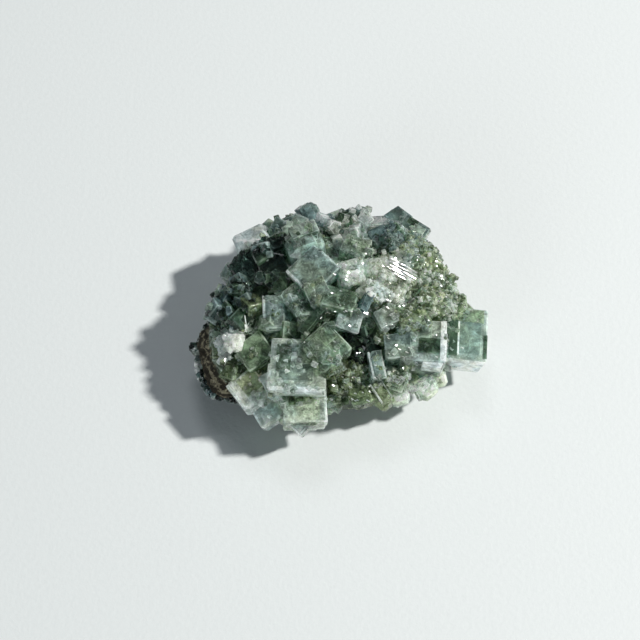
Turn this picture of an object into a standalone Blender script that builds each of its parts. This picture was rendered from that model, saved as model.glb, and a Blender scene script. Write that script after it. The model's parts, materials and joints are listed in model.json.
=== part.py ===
"""A fluorite specimen: see-through green cubes grown together on a wedge of layered brown rock.

Lengths are in millimetres in the values below and in metres on the objects. X runs to the right, Y away
from the viewer and Z up. The specimen rests on the flat foot of the rock, at Z = 0.
"""

import math
import random

import bmesh
import bpy
from mathutils import Euler, Matrix, Quaternion, Vector

MM = 0.001

# Driving sizes
GAP = 0.3  # between the rock and what grows on it
CENTRE = (0.0, -2.0)  # that the crust's reach is measured from
PLAN_MIDDLE = (-0.27, -2.14)  # middle of the whole outline in plan, which is moved to the origin
RIM_HEIGHT = 9.5  # where the crust reaches out furthest
CREST_HEIGHT = 22.0  # top of the crust between the crystals
CREST_SHIFT = (-1.0, 5.0)  # how far the crest stands off the centre
UNDERCUT = 7.0  # how far the crust reaches below its rim
VIEW_ELEVATION = math.radians(62)  # the sight line that the key crystals are placed along

# How far the crust reaches from the centre of the plan, at each heading in degrees
REACH = [
    (-180, 26.8),
    (-166, 29.0),
    (-149, 29.6),
    (-132, 26.4),
    (-105, 22.5),
    (-80, 16.5),
    (-60, 19.0),
    (-35, 22.5),
    (-14, 26.5),
    (8, 24.5),
    (30, 23.5),
    (62, 24.6),
    (82, 20.8),
    (104, 23.2),
    (125, 23.5),
    (142, 24.2),
    (160, 23.2),
    (180, 26.8),
]

# The rock, ring by ring from its foot to its crown: height, share of its full reach
ROCK_RINGS = [
    (0.0, 0.56),
    (1.2, 0.63),
    (2.2, 0.70),
    (3.2, 0.72),
    (4.2, 0.80),
    (5.4, 0.83),
    (6.4, 0.90),
    (7.6, 0.92),
    (8.6, 0.985),
    (10.0, 1.0),
    (11.2, 0.965),
    (12.2, 0.91),
    (13.2, 0.86),
    (13.8, 0.74),
    (14.4, 0.55),
    (14.8, 0.30),
]
ROCK_SIDES = 34
ROCK_ROUGHNESS = 0.35
CROWN_FROM = 10.0  # the height that the rock's crown starts at
CROWN_SINK = 0.35  # how far the crown sinks under the crust, as a share of its height
ROCK_COVERED = 0.86  # the rock's share of the crust's reach where the crust hides it
ROCK_BARE = 1.06  # and where its side is bare
BARE_FROM = -190  # the headings between which the rock's side is bare
BARE_TO = -128
BARE_FADE = 16
BARE_TOP = 14.5

CRUST_RISES = [-62, -42, -22, 0, 20, 38, 54, 68, 80]
CRUST_SIDES = 24
CRUST_INSET = 1.6  # how far the inside of the crust lies below its surface

SMALL_CRYSTALS = 240
SMALL_EDGE = (2.4, 4.6)
SMALL_LEVELS = (0.97, -0.35)  # from the crest, 1, past the rim, 0, to the underside, -1
SMALL_LOWEST = 3.4
FRINGE_CRYSTALS = 26
FRINGE_HEADINGS = (-192, -138)
FRINGE_TOP = 9.4
FRINGE_EDGE = (1.6, 3.2)

# Key crystals. Each row says where the middle of its top face is seen, across and up the picture in
# millimetres, then its height, its three edges, and how it is turned: spin about the upright, then how
# far its top leans to the viewer and to the right, in degrees.
KEY_CRYSTALS = [
    # front, from left to right
    (-18.5, -10.9, 14.6, (7.4, 7.4, 6.0), 37, 8, -5),
    (-15.0, -16.0, 10.0, (6.0, 5.8, 5.2), 30, 16, -8),
    (-7.2, -15.0, 15.0, (8.8, 6.6, 6.8), 3, 10, 2),
    (-8.2, -16.7, 12.0, (6.2, 6.2, 5.6), 47, 16, -4),
    (-8.4, -6.0, 20.5, (11.6, 11.0, 9.0), -3, 5, -3),
    (-13.6, -9.6, 18.0, (4.6, 4.6, 5.0), 24, 14, -12),
    (-2.8, -2.6, 23.0, (7.8, 8.0, 7.0), 43, 10, 2),
    (-5.8, 2.8, 23.6, (1.9, 6.6, 5.4), -42, 4, -16),
    (0.2, 7.4, 25.2, (6.8, 6.0, 6.4), -16, -16, 6),
    (-4.6, 8.8, 25.0, (5.0, 5.4, 6.0), 22, 6, -10),
    (2.2, 3.0, 23.8, (5.2, 5.0, 5.2), -12, 22, 14),
    (5.9, 6.6, 24.6, (1.7, 4.6, 4.6), -20, 6, 24),
    (9.7, 3.6, 22.4, (4.2, 4.0, 4.4), 28, 8, 6),
    (7.8, -6.4, 17.6, (3.0, 6.2, 5.0), 12, 12, 4),
    (8.6, -11.8, 14.4, (2.8, 5.2, 4.4), 33, 18, 0),
    (4.2, -12.2, 14.0, (5.2, 5.2, 5.0), 20, 12, -6),
    (11.6, -9.4, 14.8, (4.8, 4.8, 4.6), -18, 16, 4),
    (12.2, -2.4, 19.4, (5.6, 5.4, 5.6), 8, 10, 2),
    (18.4, -11.2, 10.8, (4.8, 4.8, 4.4), 36, 20, 6),
    (21.0, -9.2, 10.2, (4.2, 4.2, 4.0), 14, 18, 12),
    (9.6, -13.6, 10.0, (4.2, 4.2, 4.0), 44, 14, 0),
    (1.8, -13.0, 10.4, (4.4, 4.4, 4.2), 16, 10, 6),
    (12.8, -13.0, 10.2, (4.6, 4.4, 4.2), 24, 16, 4),
    # right end
    (17.6, -1.4, 18.8, (9.2, 9.4, 8.6), -3, 4, 3),
    (15.6, 4.0, 21.2, (7.0, 6.4, 6.4), 20, 4, 2),
    (27.3, -0.2, 13.6, (8.4, 11.8, 7.2), -3, 9, 7),
    (25.0, 6.0, 15.2, (6.0, 6.0, 5.4), 4, 2, 10),
    (27.6, 4.6, 13.0, (4.2, 4.2, 4.0), 48, 4, 16),
    (22.2, 10.0, 17.0, (5.6, 5.2, 5.0), 6, 0, 14),
    # crest
    (-5.4, 13.4, 24.8, (8.2, 8.2, 7.4), 43, 9, -8),
    (-7.4, 19.9, 25.4, (8.0, 7.6, 7.6), 22, -4, -4),
    (-6.2, 20.2, 24.9, (6.4, 6.4, 6.4), 61, -2, 6),
    (2.6, 13.2, 24.4, (6.0, 6.0, 6.0), 12, 2, 8),
    (3.6, 18.6, 22.4, (5.6, 5.2, 5.4), -24, -10, 6),
    (8.6, 13.2, 23.6, (6.4, 5.0, 5.0), -28, 0, 16),
    (13.0, 13.0, 22.2, (7.2, 4.4, 5.2), -26, -2, 20),
    (7.8, 8.6, 23.4, (5.0, 5.0, 5.0), 36, 6, 8),
    (17.6, 11.4, 19.6, (5.4, 5.4, 5.2), 14, 0, 18),
    # back
    (-9.8, 22.8, 19.4, (3.6, 7.2, 4.4), -34, -14, -12),
    (-6.1, 26.4, 15.6, (3.4, 3.4, 3.4), 10, -12, 0),
    (-6.1, 26.5, 15.5, (3.3, 3.3, 3.3), 52, 24, 30),
    (0.0, 25.4, 14.8, (4.6, 4.4, 4.6), 30, -14, 4),
    (3.4, 24.6, 13.8, (4.2, 4.2, 4.4), 58, -10, 6),
    (8.0, 24.4, 15.2, (7.0, 3.8, 4.2), 8, -18, 2),
    (10.6, 20.6, 19.0, (6.6, 6.4, 6.0), 31, -4, 8),
    (13.3, 25.8, 14.6, (4.8, 4.8, 5.0), 45, -16, 4),
    (16.4, 22.6, 15.8, (6.4, 6.0, 5.6), -30, -8, 14),
    (20.0, 16.8, 15.6, (5.0, 5.0, 5.0), 40, -4, 20),
    # left
    (-19.0, 20.6, 16.4, (7.6, 6.4, 6.0), 24, -8, -14),
    (-15.0, 22.6, 15.2, (5.0, 5.0, 5.0), 50, -12, -6),
    (-19.4, 14.4, 17.6, (6.8, 6.8, 6.6), 37, 2, -14),
    (-23.2, 13.2, 14.4, (3.8, 4.6, 4.4), 58, 0, -22),
    (-14.0, 14.0, 20.0, (6.0, 6.0, 6.0), 18, 4, -12),
    (-16.0, 9.0, 18.6, (5.6, 5.6, 5.4), 62, 8, -14),
    (-20.8, 7.4, 16.8, (5.2, 5.2, 5.2), 30, 8, -18),
    (-25.2, 8.2, 14.6, (4.0, 4.0, 4.0), 33, 4, -20),
    (-24.8, 4.8, 14.6, (4.2, 4.4, 4.4), 44, 14, -26),
    (-13.4, 4.6, 21.2, (4.2, 7.6, 5.6), 2, 6, -2),
    (-9.2, 7.6, 22.6, (5.2, 5.4, 5.4), 40, 6, -4),
    (-18.6, 4.2, 18.0, (5.6, 5.4, 5.4), 10, 10, -8),
    (-17.6, -3.6, 17.8, (6.8, 6.4, 6.4), 32, 12, -10),
    (-22.9, -2.6, 15.4, (5.0, 4.8, 4.8), 14, 12, -18),
    (-22.4, -7.6, 14.6, (4.6, 4.8, 4.6), 52, 16, -16),
]


def clear_scene():
    for found in list(bpy.data.objects):
        bpy.data.objects.remove(found)


def between(table, heading):
    """The value in a table of (heading, value) rows, eased between the rows."""
    heading = (heading + 180.0) % 360.0 - 180.0
    for (start, low), (end, high) in zip(table, table[1:]):
        if start <= heading <= end:
            share = (heading - start) / (end - start)
            return low + (high - low) * (1.0 - math.cos(math.pi * share)) / 2.0
    return table[-1][1]


def crust_point(heading, rise, inset=0.0):
    """A point on the crust. rise is in degrees: 0 at the rim, 90 at the crest, negative underneath."""
    up = math.sin(math.radians(rise))
    out = math.cos(math.radians(rise))
    reach = (between(REACH, heading) - inset) * out**0.75
    above = max(up, 0.0)
    if up > 0:
        height = RIM_HEIGHT + (CREST_HEIGHT - inset - RIM_HEIGHT) * up
    else:
        height = RIM_HEIGHT + UNDERCUT * up
    turn = math.radians(heading)
    x = CENTRE[0] + CREST_SHIFT[0] * above + reach * math.cos(turn)
    y = CENTRE[1] + CREST_SHIFT[1] * above + reach * math.sin(turn)
    return Vector((x, y, height))


def seen_point(across, up, height):
    """The point that is seen at a place in the picture and stands at a height."""
    y = (up - height * math.cos(VIEW_ELEVATION)) / math.sin(VIEW_ELEVATION)
    return Vector((across, y, height))


def rings_mesh(name, rings):
    """A closed mesh through rings of points, each ring going round anticlockwise, lowest ring first."""
    mesh = bmesh.new()
    rows = [[mesh.verts.new(point * MM) for point in ring] for ring in rings]
    count = len(rows[0])
    for lower, upper in zip(rows, rows[1:]):
        for i in range(count):
            j = (i + 1) % count
            mesh.faces.new((lower[i], lower[j], upper[j], upper[i]))
    mesh.faces.new(list(reversed(rows[0])))
    mesh.faces.new(rows[-1])
    bmesh.ops.recalc_face_normals(mesh, faces=mesh.faces)
    bmesh.ops.triangulate(mesh, faces=[f for f in mesh.faces if len(f.verts) == 4], quad_method="FIXED")
    return as_object(name, mesh)


def as_object(name, mesh):
    data = bpy.data.meshes.new(name)
    mesh.to_mesh(data)
    mesh.free()
    made = bpy.data.objects.new(name, data)
    bpy.context.collection.objects.link(made)
    return made


def bareness(heading):
    """1 where the rock's side is bare, 0 where the crust hides it."""
    heading = heading if heading <= 170 else heading - 360
    into = (heading - BARE_FROM) / BARE_FADE
    out = (BARE_TO - heading) / BARE_FADE
    return max(0.0, min(1.0, into, out))


def rock_rings(grow):
    """The rings of the rock, or of the slightly larger space that it fills when grow is the gap."""
    rings = []
    for level, (height, share) in enumerate(ROCK_RINGS):
        ring = []
        for side in range(ROCK_SIDES):
            heading = -180.0 + 360.0 * side / ROCK_SIDES
            bare = bareness(heading)
            covered = ROCK_COVERED + (ROCK_BARE - ROCK_COVERED) * bare
            rough = math.sin(2.3 * side + 1.7 * level) + math.sin(5.1 * side - 0.9 * level + 2.0)
            reach = between(REACH, heading) * covered * share + ROCK_ROUGHNESS * rough
            sink = CROWN_SINK * max(0.0, height - CROWN_FROM)
            height_here = height - sink * (1.0 - bare * min(1.0, 2.0 * share - 0.6))
            if level == 0:
                height_here -= grow
            elif height > CROWN_FROM:
                height_here += grow
            turn = math.radians(heading)
            reach += grow
            ring.append(
                Vector(
                    (
                        CENTRE[0] + reach * math.cos(turn),
                        CENTRE[1] + reach * math.sin(turn),
                        height_here,
                    )
                )
            )
        rings.append(ring)
    return rings


def crust_body(name):
    """The inside of the crust, which the crystals grow out of."""
    headings = [-180 + 360 * side / CRUST_SIDES for side in range(CRUST_SIDES)]
    return rings_mesh(name, [[crust_point(at, rise, CRUST_INSET) for at in headings] for rise in CRUST_RISES])


def add_box(mesh, centre, edges, turn):
    """One crystal: a box turned in space."""
    half = Vector(edges) / 2.0
    corners = []
    for x in (-1, 1):
        for y in (-1, 1):
            for z in (-1, 1):
                corner = turn @ Vector((x * half.x, y * half.y, z * half.z))
                corners.append(mesh.verts.new((centre + corner) * MM))
    for face in ((0, 1, 3, 2), (4, 6, 7, 5), (0, 4, 5, 1), (2, 3, 7, 6), (0, 2, 6, 4), (1, 5, 7, 3)):
        mesh.faces.new([corners[i] for i in face])


def key_crystals():
    """The centre, edges and turn of each key crystal."""
    rows = []
    for across, up, height, edges, spin, to_viewer, to_right in KEY_CRYSTALS:
        lean = Euler((math.radians(to_viewer), math.radians(to_right), 0.0), "XYZ").to_matrix()
        turn = lean @ Matrix.Rotation(math.radians(spin), 3, "Z")
        top = seen_point(across, up, height)
        rows.append((top - turn @ Vector((0, 0, edges[2] / 2.0)), edges, turn))
    return rows


def random_turn(rng):
    """Any turn in space, each as likely as another."""
    parts = [rng.gauss(0, 1) for _ in range(4)]
    return Quaternion(parts).normalized().to_matrix()


def inside_key(point, keys, share):
    """True where a point lies in or just over a key crystal, whose faces stay clean."""
    for centre, edges, turn in keys:
        local = turn.transposed() @ (point - centre)
        if max(abs(local[i]) / (edges[i] / 2.0) for i in range(3)) < share:
            return True
    return False


def on_bare_rock(point):
    heading = math.degrees(math.atan2(point.y - CENTRE[1], point.x - CENTRE[0]))
    return bareness(heading) > 0.3 and point.z < BARE_TOP


def small_crystals(keys):
    """Small crystals spread evenly over the crust, seeded, and kept off the key crystals."""
    rng = random.Random(11)
    golden = math.pi * (3.0 - math.sqrt(5.0))
    highest, lowest = SMALL_LEVELS
    rows = []
    for i in range(SMALL_CRYSTALS):
        level = highest + (lowest - highest) * (i + 0.5) / SMALL_CRYSTALS
        rise = math.degrees(math.asin(level))
        heading = math.degrees(i * golden) + rng.uniform(-4, 4)
        point = crust_point(heading, rise, rng.uniform(0.2, 1.2))
        edge = rng.uniform(*SMALL_EDGE)
        turn = random_turn(rng)
        stretch = rng.uniform(0.8, 1.25)
        if inside_key(point, keys, 1.1) or on_bare_rock(point):
            continue
        if point.z < SMALL_LOWEST + edge * 0.5:
            continue
        rows.append((point, (edge, edge * stretch, edge), turn))
    return rows


def cluster(name, rows):
    """Crystals in one mesh, each still a closed box."""
    mesh = bmesh.new()
    for centre, edges, turn in rows:
        add_box(mesh, centre, edges, turn)
    return as_object(name, mesh)


def boolean(target, cutter, operation, overlapping=False):
    step = target.modifiers.new(operation.lower(), "BOOLEAN")
    step.operation = operation
    step.solver = "EXACT"
    step.object = cutter
    step.use_self = overlapping
    cutter.hide_render = True
    cutter.display_type = "WIRE"


def keep_outer_surface(made):
    """Applies the modifiers and drops the closed pockets that crystals leave between them."""
    graph = bpy.context.evaluated_depsgraph_get()
    mesh = bmesh.new()
    mesh.from_object(made, graph)
    made.modifiers.clear()
    bmesh.ops.remove_doubles(mesh, verts=mesh.verts, dist=1e-7)
    islands = find_islands(mesh)
    islands.sort(key=len)
    for island in islands[:-1]:
        bmesh.ops.delete(mesh, geom=island, context="VERTS")
    mesh.to_mesh(made.data)
    mesh.free()


def find_islands(mesh):
    """The vertices of each connected part of a mesh."""
    left = set(mesh.verts)
    islands = []
    while left:
        front = [left.pop()]
        island = list(front)
        while front:
            vert = front.pop()
            for edge in vert.link_edges:
                other = edge.other_vert(vert)
                if other in left:
                    left.remove(other)
                    front.append(other)
                    island.append(other)
        islands.append(island)
    return islands


def fringe_rows():
    """Small crystals on the outer wall of the bare rock."""
    rng = random.Random(5)
    rows = []
    for i in range(FRINGE_CRYSTALS):
        share = (i + 0.5) / FRINGE_CRYSTALS
        heading = -188 + 50 * share + rng.uniform(-2, 2)
        height = rng.uniform(4.6, 8.6)
        point = wall_point(heading, height, rng.uniform(0.5, 1.6))
        edge = rng.uniform(*FRINGE_EDGE)
        rows.append((point, (edge, edge, edge * rng.uniform(0.9, 1.4)), random_turn(rng)))
    return rows


def wall_point(heading, height, off):
    """A point off the bare wall of the rock."""
    for (low, share), (high, next_share) in zip(ROCK_RINGS, ROCK_RINGS[1:]):
        if low <= height <= high:
            part = (height - low) / (high - low)
            share += (next_share - share) * part
            break
    bare = bareness(heading)
    covered = ROCK_COVERED + (ROCK_BARE - ROCK_COVERED) * bare
    reach = between(REACH, heading) * covered * share + off
    turn = math.radians(heading)
    return Vector((CENTRE[0] + reach * math.cos(turn), CENTRE[1] + reach * math.sin(turn), height))


def fringe_body(name):
    """The crust under the fringe: a strip along the rock's outer wall."""
    rings = []
    for heading in range(-186, -139, 5):
        rings.append(
            [
                wall_point(heading, 3.9, -1.0),
                wall_point(heading, 4.4, 1.0),
                wall_point(heading, 8.0, 1.0),
                wall_point(heading, 8.4, -1.0),
            ]
        )
    return rings_mesh(name, rings)


def outer_zone(name, start, end, top):
    """The space outside the rock's bare wall and below a height, which only the fringe fills."""
    rings = []
    for step in range(9):
        heading = start + (end - start) * step / 8
        near = wall_point(heading, 9.0, -14.0)
        far = wall_point(heading, 9.0, 12.0)
        rings.append([Vector((p.x, p.y, z)) for p, z in ((near, -2), (far, -2), (far, top), (near, top))])
    return rings_mesh(name, rings)


def material(name, colour, roughness, transmission, ior):
    made = bpy.data.materials.new(name)
    made.use_nodes = True
    shader = made.node_tree.nodes["Principled BSDF"]
    shader.inputs["Base Color"].default_value = (*colour, 1.0)
    shader.inputs["Roughness"].default_value = roughness
    shader.inputs["Metallic"].default_value = 0.0
    shader.inputs["Transmission Weight"].default_value = transmission
    shader.inputs["IOR"].default_value = ior
    return made


def build_matrix():
    rock = rings_mesh("matrix", rock_rings(0.0))
    rock.data.materials.append(material("matrix_rock", (0.17, 0.12, 0.07), 0.85, 0.0, 1.5))
    return rock


def build_crystals(space):
    keys = key_crystals()
    crystals = cluster("fluorite_crystals", keys + small_crystals(keys))
    boolean(crystals, crust_body("crust_body"), "UNION", overlapping=True)
    boolean(crystals, space, "DIFFERENCE")
    boolean(crystals, outer_zone("fringe_zone", *FRINGE_HEADINGS, FRINGE_TOP), "DIFFERENCE")
    keep_outer_surface(crystals)
    crystals.data.materials.append(material("fluorite_green", (0.42, 0.58, 0.48), 0.08, 0.9, 1.434))
    return crystals


def build_fringe(space):
    fringe = cluster("edge_druse", fringe_rows())
    boolean(fringe, fringe_body("fringe_body"), "UNION", overlapping=True)
    boolean(fringe, space, "DIFFERENCE")
    start, end = FRINGE_HEADINGS
    boolean(fringe, outer_zone("fringe_limit", start + 1, end - 1, FRINGE_TOP - GAP), "INTERSECT")
    keep_outer_surface(fringe)
    fringe.data.materials.append(material("fluorite_dark", (0.05, 0.08, 0.07), 0.15, 0.6, 1.434))
    return fringe


def move_to_origin():
    shift = Matrix.Translation(Vector((-PLAN_MIDDLE[0], -PLAN_MIDDLE[1], 0.0)) * MM)
    for made in bpy.data.objects:
        made.data.transform(shift)


def main():
    clear_scene()
    build_matrix()
    space = rings_mesh("rock_space", rock_rings(GAP))
    build_crystals(space)
    build_fringe(space)
    move_to_origin()


main()
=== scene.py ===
"""The looks of the fluorite specimen: the crystals, the rock and the fringe at full detail, and the studio.

Lengths in the values below are in millimetres unless a name says otherwise; objects are in metres.
"""

import itertools
import json
import math
import random
from collections import namedtuple

import bmesh
import bpy
from mathutils import Euler, Matrix, Quaternion, Vector, noise
from mathutils.bvhtree import BVHTree

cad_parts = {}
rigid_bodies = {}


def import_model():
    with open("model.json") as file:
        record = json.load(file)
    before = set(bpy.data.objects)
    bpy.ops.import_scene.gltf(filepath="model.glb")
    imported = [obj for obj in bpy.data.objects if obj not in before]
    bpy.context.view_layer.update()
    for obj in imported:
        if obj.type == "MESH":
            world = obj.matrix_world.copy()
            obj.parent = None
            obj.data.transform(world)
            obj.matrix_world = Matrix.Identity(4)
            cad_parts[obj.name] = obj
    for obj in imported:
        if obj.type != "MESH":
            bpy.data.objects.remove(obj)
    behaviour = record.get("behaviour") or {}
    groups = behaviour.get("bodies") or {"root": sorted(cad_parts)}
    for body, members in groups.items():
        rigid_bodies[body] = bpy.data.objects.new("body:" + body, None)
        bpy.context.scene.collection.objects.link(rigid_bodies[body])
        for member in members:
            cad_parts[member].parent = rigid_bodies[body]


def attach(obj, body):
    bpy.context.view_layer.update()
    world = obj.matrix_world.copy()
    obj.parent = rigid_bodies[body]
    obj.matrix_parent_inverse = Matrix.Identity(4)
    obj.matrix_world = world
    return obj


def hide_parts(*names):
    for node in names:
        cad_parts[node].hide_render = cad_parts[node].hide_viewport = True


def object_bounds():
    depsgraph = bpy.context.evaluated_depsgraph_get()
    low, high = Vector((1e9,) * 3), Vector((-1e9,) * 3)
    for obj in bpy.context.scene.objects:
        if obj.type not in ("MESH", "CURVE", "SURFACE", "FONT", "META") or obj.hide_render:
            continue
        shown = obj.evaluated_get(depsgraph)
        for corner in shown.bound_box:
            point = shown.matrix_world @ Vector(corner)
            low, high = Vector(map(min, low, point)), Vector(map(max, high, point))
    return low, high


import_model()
CAD_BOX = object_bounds()

MM = 0.001

# Driving sizes, as in the solids
CENTRE = (0.0, -2.0)  # that the crust's reach is measured from
PLAN_MIDDLE = (-0.27, -2.14)  # middle of the whole outline in plan, which is at the origin
RIM_HEIGHT = 9.5
CREST_HEIGHT = 22.0
CREST_SHIFT = (-1.0, 5.0)
UNDERCUT = 7.0
VIEW_ELEVATION = math.radians(62)

REACH = [
    (-180, 26.8), (-166, 29.0), (-149, 29.6), (-132, 26.4), (-105, 22.5), (-80, 16.5),
    (-60, 19.0), (-35, 22.5), (-14, 26.5), (8, 24.5), (30, 23.5), (62, 24.6),
    (82, 20.8), (104, 23.2), (125, 23.5), (142, 24.2), (160, 23.2), (180, 26.8),
]

ROCK_RINGS = [
    (0.0, 0.56), (1.2, 0.63), (2.2, 0.70), (3.2, 0.72), (4.2, 0.80), (5.4, 0.83),
    (6.4, 0.90), (7.6, 0.92), (8.6, 0.985), (10.0, 1.0), (11.2, 0.965), (12.2, 0.91),
    (13.2, 0.86), (13.8, 0.74), (14.4, 0.55), (14.8, 0.30),
]
ROCK_COVERED = 0.86  # the rock's share of the crust's reach, where the crust covers it
ROCK_BARE = 1.06
BARE_FROM = -190
BARE_TO = -128
BARE_FADE = 16
BARE_TOP = 14.5  # the bare rock's highest point
BARE_SHARE = 0.3  # the rock counts as bare from this bareness on
CROWN_FROM = 10.0  # the height that the rock's crown starts at
CROWN_SINK = 0.35  # how far the crown sinks under the crust, as a share of its height
ROCK_SIDES = 260
ROCK_LEVELS = 110
ROCK_FLAT = 1.0  # the foot is flat up to this height
ROCK_BEND = 2.2  # how far the layers wander, in layers
ROCK_LEDGE = 0.42  # how far ledges, roughness, pits and the crown's lift move the surface
ROCK_ROUGHNESS = 0.5
ROCK_PITS = 1.2
ROCK_LIFT = 0.35
LAYERS_TO_MM = 0.95

CRUST_RISES = [-62, -42, -22, 0, 20, 38, 54, 68, 80]
CRUST_SIDES = 24
CRUST_INSET = 1.7  # how far the inside of the crust lies below its surface

SMALL_CRYSTALS = 240
SMALL_EDGE = (2.4, 4.6)
SMALL_LEVELS = (0.97, 1.32)  # the highest level, where 1 is the crest, and how far down they go from it
SMALL_LOWEST = 3.4
SMALL_KEPT_OFF = 1.1  # how far off a key crystal's middle, as a share of its own half edge
SMALL_CHAMFER = 0.06  # as a share of the edge, here and in the chamfers below
PARALLEL_STEPS = 2  # smaller crystals grown on each, the same way round
PARALLEL_SIZE = (0.4, 0.85)  # their edges, as a share of its own
FRINGE_CRYSTALS = 26
FRINGE_FROM = -188  # heading
FRINGE_SPAN = 50
FRINGE_EDGE = (1.6, 3.2)
FRINGE_BUNCH = 7  # crystals that share the place of one in the solids
FRINGE_PART = (0.42, 0.66)  # the edge of one in a bunch, as a share of the one in the solids
FRINGE_TURNED = 0.6  # share of a bunch that isn't grown in parallel
FRINGE_CHAMFER = 0.05
FRINGE_HEIGHTS = (4.6, 8.6)
FRINGE_OFF = (0.5, 1.6)  # how far off the rock's wall
FRINGE_SECTION = ((3.9, -1.4), (8.4, -1.4), (8.0, 0.8), (4.4, 0.8))  # of the base: height, off the wall
# Sown on the bare rock's wall: how many, and ranges of heading, height, how far off the wall, and edge
FINE_FRINGE = (420, (-188, -139), (4.2, 8.9), (0.3, 1.7), (0.6, 1.5))
SHOULDER = (150, (-188, -134), (12.7, 14.0), (-0.9, -0.1), (1.1, 2.7))
SHOULDER_WHITE = -25.4  # across: the shoulder is white to the right of this
SHOULDER_WHITE_TO = -160  # and at headings before this
FRINGE_LOOKS = ("dark", "black", "teal", "dark", "dark", "pale")
FRINGE_PALE_LOOKS = ("clear", "haze", "pale", "teal")
FRINGE_PALE = [(-31.4, -6.2, 2.6)]  # where the fringe is pale: across, up, radius in the picture plane

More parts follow.
